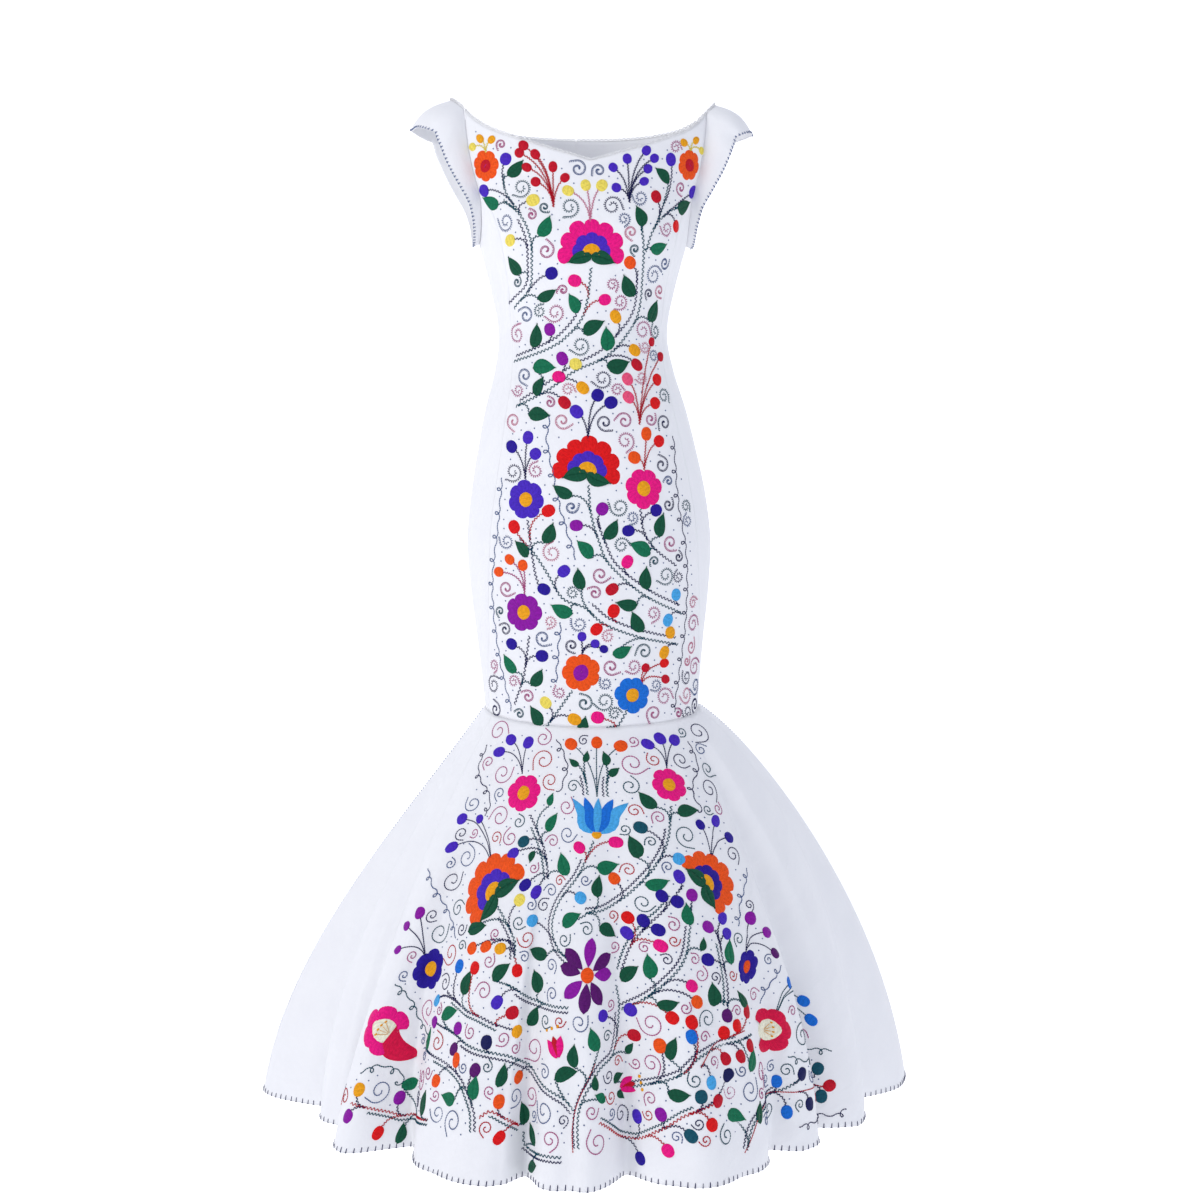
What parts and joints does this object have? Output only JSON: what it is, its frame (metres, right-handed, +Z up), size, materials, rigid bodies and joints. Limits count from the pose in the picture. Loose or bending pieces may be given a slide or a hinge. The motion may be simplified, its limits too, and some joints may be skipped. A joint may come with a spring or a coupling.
{
  "type": "embroidered mexican dress",
  "caption": "Floor-length white cotton mermaid dress with cap sleeves, a close body and a fluted bell skirt from the knee, its front embroidered with bright flowers.",
  "frame": {"origin": "At shoulder height, midway between the shoulders, where the wearer holds the dress up (mount shoulders). The whole dress hangs below it.", "axes": "+Z up along the wearer's height, the front faces -Y, +X is the wearer's left, which is on the viewer's right"},
  "size_m": [0.9559, 0.8306, 1.4251],
  "materials": {
    "cotton": "matte white cotton, plain weave",
    "thread": "embroidery thread in many colours, satin sheen"
  },
  "bodies": {
    "root": {"front_panel": "cotton", "side_panel_left": "cotton", "side_panel_right": "cotton", "back_panel_left": "cotton", "back_panel_right": "cotton", "sleeve_left": "cotton", "sleeve_right": "cotton", "skirt_front": "cotton", "skirt_side_left": "cotton", "skirt_side_right": "cotton", "skirt_back_left": "cotton", "skirt_back_right": "cotton"}
  },
  "joints": []
}
